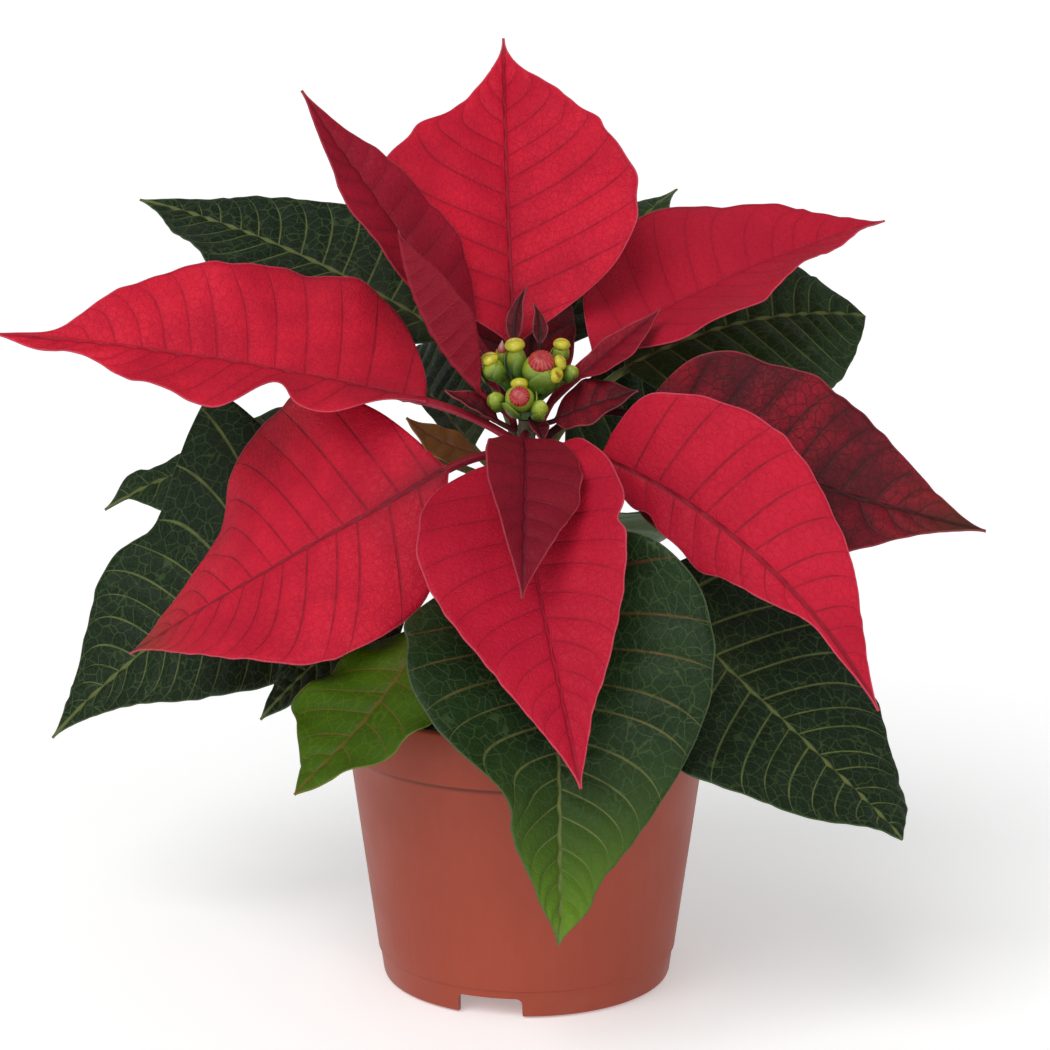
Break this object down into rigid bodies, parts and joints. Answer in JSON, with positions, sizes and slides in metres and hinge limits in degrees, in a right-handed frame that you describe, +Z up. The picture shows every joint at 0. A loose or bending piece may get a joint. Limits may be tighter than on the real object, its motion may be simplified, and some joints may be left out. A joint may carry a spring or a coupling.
{
  "type": "potted poinsettia",
  "caption": "Small potted poinsettia: a star of red bracts round yellow-green flower cups over dark green leaves, in a plain terracotta-coloured plastic pot.",
  "frame": {"origin": "on the pot's axis, on the surface the pot stands on", "axes": "+Z up along the pot's axis, -Y towards the side that the flower faces, +X to the right as seen from that side"},
  "size_m": [0.2693, 0.2095, 0.2568],
  "materials": {
    "pot_plastic": "terracotta-coloured moulded plastic with a soft satin sheen",
    "peat": "dark brown, crumbly and matt",
    "stem_bark": "smooth green bark going reddish brown at the leaf joints",
    "bract_red": "velvety pinkish red with sunken darker veins",
    "bract_crimson": "deep crimson, matt, fine veins",
    "bract_dark_red": "dark maroon red, blotched with green-black along the veins",
    "leaf_green": "dark green with pale green veins, satin",
    "leaf_yellow_green": "light yellow green with pale veins",
    "leaf_brown_green": "brown green turning red",
    "cup_green": "fleshy yellow green",
    "tuft_red": "red, striped with orange",
    "gland_yellow": "wet-looking yellow"
  },
  "bodies": {
    "root": {"bract_back": "bract_dark_red", "bract_front": "bract_red", "bract_inner_folded": "bract_crimson", "bract_inner_front": "bract_crimson", "bract_inner_left": "bract_crimson", "bract_inner_right": "bract_dark_red", "bract_left": "bract_red", "bract_lower_left": "bract_red", "bract_lower_right": "bract_red", "bract_right_dark": "bract_dark_red", "bract_top": "bract_red", "bract_top_left": "bract_crimson", "bract_upper_right": "bract_red", "bractlet_behind_left": "bract_dark_red", "bractlet_behind_right": "bract_dark_red", "bractlet_front": "bract_dark_red", "bractlet_left": "bract_dark_red", "flower_cups": "cup_green", "gland_front": "gland_yellow", "gland_left": "gland_yellow", "gland_main_lower": "gland_yellow", "gland_main_upper": "gland_yellow", "gland_upper_left": "gland_yellow", "gland_upper_right": "gland_yellow", "leaf_back": "leaf_green", "leaf_back_high": "leaf_green", "leaf_back_left": "leaf_green", "leaf_back_right": "leaf_green", "leaf_far_left": "leaf_green", "leaf_front": "leaf_green", "leaf_left": "leaf_green", "leaf_low_left": "leaf_green", "leaf_lower_right": "leaf_green", "leaf_turning": "leaf_brown_green", "leaf_upper_left": "leaf_green", "leaf_upper_right": "leaf_green", "leaf_yellow": "leaf_yellow_green", "pot": "pot_plastic", "soil": "peat", "stem": "stem_bark", "tuft_front": "tuft_red", "tuft_main": "tuft_red", "tuft_upper_mid": "tuft_red"}
  },
  "joints": []
}
